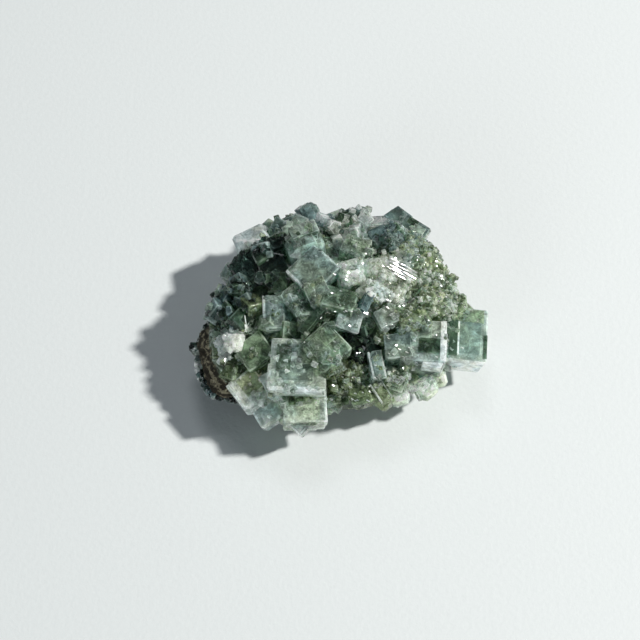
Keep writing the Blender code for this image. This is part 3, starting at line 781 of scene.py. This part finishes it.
def look_at(point, rng):
    """The look of a lesser crystal at a point."""
    place = seen_place(point)
    choice = LOOKS_ELSEWHERE
    nearest = 1.0
    for across, up, radius, looks in LOOK_PATCHES:
        away = (place - Vector((across, up))).length / radius
        if away < nearest:
            nearest, choice = away, looks
    return rng.choice(choice)


def bareness(heading):
    """1 where the rock's side is bare, 0 where the crust hides it."""
    heading = heading if heading <= BARE_FROM + 360 else heading - 360
    into = (heading - BARE_FROM) / BARE_FADE
    out = (BARE_TO - heading) / BARE_FADE
    return max(0.0, min(1.0, into, out))


def on_bare_rock(point):
    heading = math.degrees(math.atan2(point.y - CENTRE[1], point.x - CENTRE[0]))
    return bareness(heading) > BARE_SHARE and point.z < BARE_TOP


def small_crystals(keys):
    """Small crystals spread evenly over the crust, seeded, and kept off the key crystals."""
    rng = random.Random(11)
    looks = random.Random(17)
    golden = math.pi * (3.0 - math.sqrt(5.0))
    highest, span = SMALL_LEVELS
    rows = []
    for i in range(SMALL_CRYSTALS):
        level = highest - span * (i + 0.5) / SMALL_CRYSTALS
        rise = math.degrees(math.asin(max(-1.0, min(1.0, level))))
        heading = math.degrees(i * golden) + rng.uniform(-4, 4)
        point = crust_point(heading, rise, rng.uniform(0.2, 1.2))
        edge = rng.uniform(*SMALL_EDGE)
        turn = random_turn(rng)
        stretch = rng.uniform(0.8, 1.25)
        if key_at(point, keys, SMALL_KEPT_OFF) or on_bare_rock(point):
            continue
        if is_near(point, KEPT_BARE) or point.z < SMALL_LOWEST + edge * 0.5:
            continue
        edges = (edge, edge * stretch, edge)
        rows.append(Crystal(point, edges, turn, SMALL_CHAMFER * edge, look_at(point, looks)))
    return rows


def grown_in_parallel(rows, rng):
    """Each crystal with smaller ones grown on it the same way round, which step its faces."""
    grown = []
    for crystal in rows:
        grown.append(crystal)
        edges = crystal.edges
        least = min(edges)
        for _ in range(PARALLEL_STEPS):
            size = [edge * rng.uniform(*PARALLEL_SIZE) for edge in edges]
            offset = Vector([rng.uniform(-0.5, 0.5) * (edges[k] - size[k]) for k in range(3)])
            axis = rng.randrange(3)
            proud = rng.uniform(0.06, 0.04 * least + 0.08)
            offset[axis] = rng.choice((-1, 1)) * ((edges[axis] - size[axis]) / 2.0 + proud)
            centre = crystal.centre + crystal.turn @ offset
            grown.append(crystal._replace(centre=centre, edges=size, chamfer=min(0.5 * proud, 0.1)))
    return grown


def crust_body():
    """The inside of the crust, which the crystals grow out of. It runs down into the rock."""
    headings = [-180 + 360 * side / CRUST_SIDES for side in range(CRUST_SIDES)]
    mesh = closed_rings([[crust_point(at, rise, CRUST_INSET) for at in headings] for rise in CRUST_RISES])
    bmesh.ops.triangulate(mesh, faces=mesh.faces)
    body = finished("crust_body", mesh)
    paint(body.data, len(body.data.polygons), "green", random.Random(1))
    return body


def beyond_crust(point, edge):
    """Whether a crystal would stand too far outside the crust's own outline."""
    out = Vector((point.x - CENTRE[0], point.y - CENTRE[1]))
    beyond = out.length - between(REACH, math.degrees(math.atan2(out.y, out.x)))
    placed = to_metres(point)
    low, high = CAD_BOX
    margin = 0.5 * edge * MM
    inside = all(low[k] + margin < placed[k] < high[k] - margin for k in (0, 1))
    return beyond > (TINY_BEYOND if edge < TINY else -0.2) or not inside


def druse_share(point):
    """How densely tiny crystals stand at a point."""
    place = seen_place(point)
    share = DRUSE_ELSEWHERE
    for across, up, radius, patch_share in DRUSE_PATCHES:
        near = 1.0 - (place - Vector((across, up))).length / radius
        share = max(share, patch_share * min(1.0, DRUSE_FADE * near))
    return share


def sowing_ray(side, rng):
    """Where a ray at the crust starts and where it goes: from around the crust or from above it."""
    if side == "above":
        return view_ray(rng.uniform(*SOWN_ACROSS), rng.uniform(*SOWN_UP))
    heading = rng.uniform(-180, 180)
    rise = math.degrees(math.asin(rng.uniform(*SOWN_LEVELS)))
    far = to_metres(crust_point(heading, rise, SOWN_FROM))
    aim = to_metres(crust_point(heading, rise, SOWN_TO))
    return far, (aim - far).normalized()


def druse(host, keys, side, tries, edges, depth, seed):
    """Tiny crystals half sunk in the host's surface, thickest in the druse patches."""
    rng = random.Random(seed)
    tree = BVHTree.FromObject(host, bpy.context.evaluated_depsgraph_get())
    rows = []
    for _ in range(tries):
        hit, normal, _, _ = tree.ray_cast(*sowing_ray(side, rng))
        edge = rng.uniform(*edges)
        chance = rng.random()
        turn = random_turn(rng)
        if hit is None:
            continue
        point = to_millimetres(hit)
        if on_bare_rock(point) or point.z < DRUSE_LOWEST or beyond_crust(point, edge):
            continue
        if is_near(point, KEPT_BARE):
            continue
        share = druse_share(point)
        key = key_at(point, keys, ON_KEY)
        if key:
            share = ON_GRAINY * (share if LOOKS[key.look][2] > GRAINY_FROM else ON_SMOOTH)
        if edge > TINY and is_near(point, KEPT_CLEAR):
            continue
        if chance > share:
            continue
        smooth = key and LOOKS[key.look][2] <= COARSE_GRAIN
        look = key.look if smooth else look_at(point, rng)
        sunk = point - normal * edge * depth
        rows.append(Crystal(sunk, (edge, edge * DRUSE_STRETCH, edge), turn, edge * DRUSE_CHAMFER, look))
    return rows


def glitter(host):
    """Thin crystals in parallel rows with a common face, a few glints, and small sparkles on the right."""
    rng = random.Random(7)
    tree = BVHTree.FromObject(host, bpy.context.evaluated_depsgraph_get())
    lie = math.radians(GLITTER_TURN)
    along = Matrix.Rotation(math.radians(GLITTER_ROWS), 2)
    seeds = []
    for _ in range(GLITTER_COUNT):
        offset = Vector([rng.uniform(-1, 1) * reach for reach in GLITTER_REACH])
        offset.y = GLITTER_STEP * round(offset.y / GLITTER_STEP) + rng.uniform(-0.08, 0.08)
        edges = tuple(rng.uniform(*span) for span in GLITTER_EDGES)
        seeds.append((Vector(GLITTER_PLACE) + along @ offset, edges, GLITTER_SPREAD, GLITTER_SUNK))
    for _ in range(GLINTS):
        offset = Vector([rng.uniform(-GLINT_REACH, GLINT_REACH) for _ in range(2)])
        edges = (rng.uniform(*GLINT_WIDTH), 0.7, 1.2)
        seeds.append((Vector(GLINT_PLACE) + offset, edges, GLINT_SPREAD, SPARKLE_SUNK))
    for _ in range(SPARKLES):
        place = Vector((rng.uniform(*SPARKLE_ACROSS), rng.uniform(*SPARKLE_UP)))
        edge = rng.uniform(*SPARKLE_EDGE)
        edges = (edge * rng.uniform(1.0, 2.2), edge * 0.6, 1.0)
        seeds.append((place, edges, SPARKLE_SPREAD * GLITTER_SPREAD, SPARKLE_SUNK))
    rows = []
    for place, edges, spread, sunk in seeds:
        hit, _, _, _ = tree.ray_cast(*view_ray(*place))
        face = Vector([part + rng.gauss(0, spread) for part in GLITTER_FACE]).normalized()
        if hit is None:
            continue
        point = to_millimetres(hit)
        if is_near(point, KEPT_DULL):
            continue
        long_way = Vector((math.cos(lie), math.sin(lie), 0))
        long_way = (long_way - face * long_way.dot(face)).normalized()
        turn = Matrix((long_way, face.cross(long_way), face)).transposed()
        centre = point - face * edges[2] * sunk
        # the near-white colour is partly a painted glint
        rows.append(Crystal(centre, edges, turn, GLITTER_CHAMFER, "mirror_and_painted_glint", 0.0))
    return rows


# The rock


def rock_reach(heading, height):
    """How far the rock reaches at a heading and height, and how far its crown sinks there."""
    share = ROCK_RINGS[-1][1]
    for (low, here), (high, there) in zip(ROCK_RINGS, ROCK_RINGS[1:]):
        if low <= height <= high:
            share = here + (there - here) * (height - low) / (high - low)
            break
    bare = bareness(heading)
    covered = ROCK_COVERED + (ROCK_BARE - ROCK_COVERED) * bare
    sink = CROWN_SINK * max(0.0, height - CROWN_FROM) * (1.0 - bare * min(1.0, 2.0 * share - 0.6))
    return between(REACH, heading) * covered * share, sink


def rock_point(heading, height):
    """A point on the rough, ledged rock."""
    reach, sink = rock_reach(heading, height)
    turn = math.radians(heading)
    at = Vector((math.cos(turn) * reach, math.sin(turn) * reach, height))
    bend = noise.noise(at * 0.12) * ROCK_BEND
    ledge = 2.0 * abs((height * LAYERS_TO_MM + bend) % 1.0 - 0.5) - 0.5
    rough = noise.fractal(at * 0.8, 0.8, 2.1, 6)
    pits = -ROCK_PITS * max(0.0, noise.noise(at * 0.42 + Vector((7, 3, 1))) - 0.25)
    reach += ROCK_LEDGE * ledge + ROCK_ROUGHNESS * rough + pits
    lift = ROCK_LIFT * noise.fractal(at * 0.5 + Vector((3, 1, 9)), 0.9, 2.0, 4)
    return out_from_centre(heading, reach, max(0.0, height - sink + (lift if height > ROCK_FLAT else 0.0)))


def rock_object():
    """The layered rock at full detail: thin ledges, pits and a rough crown over a flat foot."""
    top = ROCK_RINGS[-1][0]
    heights = [top * level / (ROCK_LEVELS - 1) for level in range(ROCK_LEVELS)]
    headings = [-180.0 + 360.0 * side / ROCK_SIDES for side in range(ROCK_SIDES)]
    rings = [[rock_point(heading, height) for heading in headings] for height in heights]
    made = finished("matrix_rock", closed_rings(rings))
    bpy.context.scene.collection.objects.link(made)
    made.data.shade_smooth()
    return made


def wall_point(heading, height, off):
    """A point off the bare wall of the rock."""
    reach, _ = rock_reach(heading, height)
    return out_from_centre(heading, reach + off, height)


def sown_on_wall(rng, count, headings, heights, off, edges):
    """The headings, points and edges of crystals sown on the bare wall, drawn one by one."""
    for _ in range(count):
        heading = rng.uniform(*headings)
        point = wall_point(heading, rng.uniform(*heights), rng.uniform(*off))
        yield heading, point, rng.uniform(*edges)


def shoulder_rows():
    """Small crystals that spread from the crust over the shoulder of the bare rock."""
    rng = random.Random(13)
    rows = []
    for heading, point, edge in sown_on_wall(rng, *SHOULDER):
        white = point.x > SHOULDER_WHITE and heading < SHOULDER_WHITE_TO
        # the white shoulder is partly painted light, lightening it where it lies in shade
        look = rng.choice(("haze", "snow_and_painted_light", "snow_and_painted_light") if white else ("moss", "olive", "moss", "grey"))
        edges = (edge, 1.2 * edge, edge)
        rows.append(Crystal(point, edges, random_turn(rng), SMALL_CHAMFER * edge, look))
    return rows


def fringe_look(point, rng):
    return rng.choice(FRINGE_PALE_LOOKS if is_near(point, FRINGE_PALE) else FRINGE_LOOKS)


def fringe_rows():
    """Small crystals on the outer wall of the bare rock, as in the solids, and finer ones between."""
    rng = random.Random(5)
    looks = random.Random(6)
    rows = []
    for i in range(FRINGE_CRYSTALS):
        share = (i + 0.5) / FRINGE_CRYSTALS
        heading = FRINGE_FROM + FRINGE_SPAN * share + rng.uniform(-2, 2)
        point = wall_point(heading, rng.uniform(*FRINGE_HEIGHTS), rng.uniform(*FRINGE_OFF))
        edge = rng.uniform(*FRINGE_EDGE)
        tall = edge * rng.uniform(0.9, 1.4)
        turn = random_turn(rng)
        for _ in range(FRINGE_BUNCH):
            part = edge * looks.uniform(*FRINGE_PART)
            room = Vector((edge - part, edge - part, tall - part))
            offset = Vector([looks.uniform(-0.5, 0.5) * side for side in room])
            own = random_turn(looks) if looks.random() < FRINGE_TURNED else turn
            at = point + turn @ offset
            rows.append(Crystal(at, (part, part, part), own, FRINGE_CHAMFER * part, fringe_look(at, looks)))
    for _, point, edge in sown_on_wall(rng, *FINE_FRINGE):
        look = fringe_look(point, looks)
        rows.append(Crystal(point, (edge, edge, edge), random_turn(rng), SMALL_CHAMFER * edge, look))
    return rows


def fringe_base():
    """The crust under the fringe: a strip along the rock's outer wall."""
    headings = range(-186, -139, 5)
    mesh = closed_rings([[wall_point(at, *corner) for corner in FRINGE_SECTION] for at in headings])
    bmesh.ops.recalc_face_normals(mesh, faces=mesh.faces)
    bmesh.ops.triangulate(mesh, faces=mesh.faces)
    base = finished("fringe_base", mesh)
    paint(base.data, len(base.data.polygons), "dark", random.Random(2))
    return base


# Materials

# Scales of the procedural patterns, in cells to a metre
VEIL_SCALE = 420
DRIFT_SCALE = 150
DULL_SCALE = 300
GRAIN_SCALE = 2400
FLAKE_SCALE = 1300
WARM = (1.04, 1.03, 0.91)
COOL = (0.93, 1.00, 1.02)
GREEN_ABSORBED = (0.48, 0.68, 0.54)
GREEN_DENSITY = 110.0
DARK_ABSORBED = (0.35, 0.50, 0.42)
DARK_DENSITY = 300.0
ROCK_CROWN = (0.0118, 0.0132)  # the heights that the mossy crown fades in between, in metres
FLUORITE_INDEX = 1.434
DARKEST_SHADE = 0.08


class Nodes:
    """Short calls for building a material's nodes."""

    def __init__(self, name):
        self.material = bpy.data.materials.new(name)
        self.material.use_nodes = True
        self.tree = self.material.node_tree
        self.shader = self.tree.nodes["Principled BSDF"]
        self.output = self.tree.nodes["Material Output"]
        self.place = self.add("ShaderNodeTexCoord").outputs["Object"]

    def add(self, kind, **values):
        node = self.tree.nodes.new(kind)
        for key, value in values.items():
            setattr(node, key, value)
        return node

    def link(self, start, end):
        self.tree.links.new(start, end)

    def set(self, socket, value):
        self.shader.inputs[socket].default_value = value

    def feed(self, sockets, values):
        """Gives each socket its value, which is a number, a vector or another node's output."""
        for socket, value in zip(sockets, values):
            if isinstance(value, bpy.types.NodeSocket):
                self.link(value, socket)
            else:
                socket.default_value = value

    def noise(self, scale, detail=3.0, roughness=0.55, distortion=0.0):
        node = self.add("ShaderNodeTexNoise")
        names = ("Vector", "Scale", "Detail", "Roughness", "Distortion")
        self.feed([node.inputs[name] for name in names], (self.place, scale, detail, roughness, distortion))
        return node.outputs["Fac"]

    def range(self, value, low, high, to_low=0.0, to_high=1.0):
        node = self.add("ShaderNodeMapRange")
        names = ("Value", "From Min", "From Max", "To Min", "To Max")
        self.feed([node.inputs[name] for name in names], (value, low, high, to_low, to_high))
        return node.outputs["Result"]

    def mix(self, share, low, high):
        node = self.add("ShaderNodeMix", data_type="RGBA")
        self.link(share, node.inputs["Factor"])
        colours = [(*value, 1.0) if isinstance(value, tuple) else value for value in (low, high)]
        self.feed([s for s in node.inputs if s.type == "RGBA"], colours)
        return [s for s in node.outputs if s.type == "RGBA"][0]

    def read(self, name, output):
        """What is written on the faces under a name."""
        return self.add("ShaderNodeAttribute", attribute_name=name).outputs[output]

    def flakes(self, scale):
        """Small flat flakes that tilt at random: a random number for each, and their height in metres."""
        node = self.add("ShaderNodeTexVoronoi", feature="F1")
        self.link(self.place, node.inputs["Vector"])
        node.inputs["Scale"].default_value = scale
        centred = self.vector("SUBTRACT", self.place, node.outputs["Position"])
        slope = self.vector("SUBTRACT", node.outputs["Color"], (0.5, 0.5, 0.5))
        split = self.add("ShaderNodeSeparateColor")
        self.link(node.outputs["Color"], split.inputs["Color"])
        return split.outputs["Red"], self.vector("DOT_PRODUCT", centred, slope, "Value")

    def vector(self, kind, a, b, output="Vector"):
        node = self.add("ShaderNodeVectorMath", operation=kind)
        self.feed(node.inputs, (a, b))
        return node.outputs[output]

    def math(self, kind, a, b):
        node = self.add("ShaderNodeMath", operation=kind)
        self.feed(node.inputs, (a, b))
        return node.outputs["Value"]

    def times(self, a, b):
        return self.math("MULTIPLY", a, b)

    def plus(self, a, b):
        return self.math("ADD", a, b)

    def minus(self, a, b):
        return self.math("SUBTRACT", a, b)

    def bump(self, height, strength, distance):
        node = self.add("ShaderNodeBump")
        self.link(height, node.inputs["Height"])
        node.inputs["Strength"].default_value = strength
        node.inputs["Distance"].default_value = distance
        self.link(node.outputs["Normal"], self.shader.inputs["Normal"])

    def absorb(self, colour, density):
        node = self.add("ShaderNodeVolumeAbsorption")
        node.inputs["Color"].default_value = (*colour, 1.0)
        node.inputs["Density"].default_value = density
        self.link(node.outputs["Volume"], self.output.inputs["Volume"])


def crystal_material(name, absorbed, density):
    """Glass-clear crystal with milky veils, fine grain, little tilted flakes and pale cut edges: frost and
    painted highlight.
    """
    made = Nodes(name)
    tint = made.read("tint", "Color")
    clear = made.read("clear", "Fac")
    grain = made.read("grain", "Fac")
    veil = made.range(made.noise(VEIL_SCALE, 6, 0.68, 0.5), 0.42, 0.62)
    fine = made.noise(GRAIN_SCALE, 4, 0.7)
    light = made.range(fine, 0.56, 0.70)
    dark = made.range(fine, 0.46, 0.34)
    flake, tilt = made.flakes(FLAKE_SCALE)
    grainy = made.range(grain, 0.0, 1.0, 0.35, 1.0)
    milky = made.range(veil, 0.0, 1.0, 0.62, 1.08)
    speckled = made.plus(milky, made.times(light, made.times(grainy, 0.7)))
    pitted = made.minus(speckled, made.times(dark, made.times(grainy, 0.45)))
    shade = made.plus(pitted, made.times(made.minus(flake, 0.4), made.times(grain, 0.7)))
    drift = made.mix(made.range(made.noise(DRIFT_SCALE, 3, 0.6), 0.42, 0.58), WARM, COOL)
    drifted = made.vector("MULTIPLY", tint, drift)
    colour = made.vector("MULTIPLY", drifted, made.math("MAXIMUM", shade, DARKEST_SHADE))
    made.link(colour, made.shader.inputs["Base Color"])
    loss = made.plus(made.range(veil, 0.0, 1.0, -0.10, 0.16), made.times(light, made.times(grainy, 0.4)))
    made.link(made.minus(clear, loss), made.shader.inputs["Transmission Weight"])
    worn = made.times(light, made.times(grainy, 0.14))
    dull = made.range(made.noise(DULL_SCALE, 4), 0.35, 0.75, 0.02, 0.10)
    made.link(made.plus(dull, worn), made.shader.inputs["Roughness"])
    made.set("IOR", FLUORITE_INDEX)
    made.set("Subsurface Weight", 1.0)
    made.set("Subsurface Radius", (1.0, 0.90, 0.95))
    made.set("Subsurface Scale", 0.005)
    tilted = made.times(tilt, made.range(grain, 0.0, 1.0, 0.0, 0.9))
    rippled = made.times(fine, made.range(grain, 0.0, 1.0, 0.0, 0.00010))
    made.bump(made.plus(tilted, rippled), 1.0, 1.0)
    made.absorb(absorbed, density)
    return made.material


def rock_material():
    """Thin ochre and dark brown layers, and a dark mossy crown where the crystals are rooted."""
    made = Nodes("matrix_rock")
    split = made.add("ShaderNodeSeparateXYZ")
    made.link(made.place, split.inputs["Vector"])
    warp = made.noise(150, 5, 0.65)
    level = made.times(split.outputs["Z"], 1500.0)
    broken = made.times(made.noise(1100, 5, 0.75), 3.6)
    layer = made.plus(made.plus(level, broken), made.times(warp, 6.0))
    bands = made.math("PINGPONG", layer, 1.0)
    grain = made.noise(1400, 5, 0.75)
    ochre = made.mix(made.range(grain, 0.3, 0.7), (0.07, 0.06, 0.035), (0.55, 0.49, 0.33))
    brown = made.mix(made.range(grain, 0.3, 0.7), (0.004, 0.004, 0.002), (0.066, 0.051, 0.028))
    layered = made.mix(made.range(bands, 0.52, 0.80), brown, ochre)
    crown = made.range(split.outputs["Z"], *ROCK_CROWN)
    under = made.mix(made.noise(420, 5, 0.7), (0.02, 0.03, 0.015), (0.26, 0.28, 0.17))
    made.link(made.mix(crown, layered, under), made.shader.inputs["Base Color"])
    made.set("Roughness", 0.85)
    made.bump(grain, 0.7, 0.0006)
    return made.material


def floor_material():
    made = Nodes("studio_floor")
    grain = made.noise(900, 3, 0.6)
    made.link(made.mix(grain, (0.69, 0.72, 0.72), (0.73, 0.76, 0.76)), made.shader.inputs["Base Color"])
    made.set("Roughness", 0.6)
    made.bump(grain, 0.15, 0.0004)
    return made.material


def dress(piece, material, slot, *nodes):
    piece.data.materials.clear()
    piece.data.materials.append(material)
    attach(piece, "root")
    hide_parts(*nodes)


def build_crystals():
    rng = random.Random(3)
    keys, plates = key_crystals()
    rows = grown_in_parallel(keys, rng)
    rows += grown_in_parallel(small_crystals(keys), rng)
    rows += round_crystal(rng) + shoulder_rows()
    mass = united("fluorite_mass", rows, crust_body())
    for sowing in DRUSE_SOWINGS:
        mass = united("fluorite_mass", druse(mass, keys, *sowing), mass)
    mass = united("fluorite_mass", plates + glitter(mass), mass)
    keep_outer_surface(mass)
    green = crystal_material("fluorite_green", GREEN_ABSORBED, GREEN_DENSITY)
    dress(mass, green, "fluorite_green", "fluorite_crystals")


def build_rock():
    dress(rock_object(), rock_material(), "matrix_rock", "matrix")


def build_fringe():
    fringe = united("fringe_crystals", fringe_rows(), fringe_base())
    keep_outer_surface(fringe)
    dark = crystal_material("fluorite_dark", DARK_ABSORBED, DARK_DENSITY)
    dress(fringe, dark, "fluorite_dark", "edge_druse")


# Studio

FLOOR_HALF = 1.5  # metres
PHOTO_WIDTH = 640
PHOTO_SCALE = 4.69  # pixels of the photograph to a millimetre
PHOTO_MIDDLE = (338.5, 333.0)  # the pixel that across 0, up 0 is seen at
LENS = 85.0
SENSOR = 36.0
AIM_HEIGHT = 12.0
LIGHT_AIM = (0, 0, 0.01)  # metres
# Name, heading, elevation, distance and size in metres, power in watts, colour
LIGHTS = [
    ("key", 4, 46, 1.5, 0.1125, 28.0, (1.0, 0.99, 0.96)),
    ("back", 95, 60, 0.8, 0.32, 0.8, (0.92, 0.96, 1.0)),
    ("front", -122, 15, 0.8, 0.4, 1.7, (0.90, 0.97, 1.0)),
]


def build_floor():
    data = bpy.data.meshes.new("studio_floor")
    half = FLOOR_HALF
    corners = [(-half, -half, 0), (half, -half, 0), (half, half, 0), (-half, half, 0)]
    data.from_pydata(corners, [], [(0, 1, 2, 3)])
    floor = bpy.data.objects.new("studio_floor", data)
    bpy.context.scene.collection.objects.link(floor)
    data.materials.append(floor_material())


def aimed(made, place, target):
    made.location = place
    made.rotation_euler = (target - place).to_track_quat("-Z", "Y").to_euler()
    bpy.context.scene.collection.objects.link(made)


def add_light(name, heading, elevation, distance, size, power, colour):
    light = bpy.data.lights.new(name, "AREA")
    light.shape = "DISK"
    light.size = size
    light.energy = power
    light.color = colour
    turn, rise = math.radians(heading), math.radians(elevation)
    target = Vector(LIGHT_AIM)
    out = Vector((math.cos(turn) * math.cos(rise), math.sin(turn) * math.cos(rise), math.sin(rise)))
    aimed(bpy.data.objects.new(name, light), target + out * distance, target)


def build_camera():
    camera = bpy.data.cameras.new("camera")
    camera.lens = LENS
    camera.sensor_width = SENSOR
    camera.clip_start = 0.01
    middle = PHOTO_WIDTH / 2
    across = (middle - PHOTO_MIDDLE[0]) / PHOTO_SCALE
    up = (PHOTO_MIDDLE[1] - middle) / PHOTO_SCALE
    target = to_metres(seen_point(across, up, AIM_HEIGHT))
    distance = PHOTO_WIDTH / PHOTO_SCALE * MM * LENS / SENSOR
    out = Vector((0, -math.cos(VIEW_ELEVATION), math.sin(VIEW_ELEVATION)))
    made = bpy.data.objects.new("camera", camera)
    aimed(made, target + out * distance, target)
    bpy.context.scene.camera = made


def build_world():
    world = bpy.data.worlds.new("studio")
    world.use_nodes = True
    back = world.node_tree.nodes["Background"]
    back.inputs["Color"].default_value = (0.74, 0.87, 1.0, 1.0)
    back.inputs["Strength"].default_value = 0.08
    bpy.context.scene.world = world


def build_studio():
    build_floor()
    build_world()
    for light in LIGHTS:
        add_light(*light)
    build_camera()
    bpy.context.scene.view_settings.view_transform = "Standard"


build_crystals()
build_rock()
build_fringe()
build_studio()
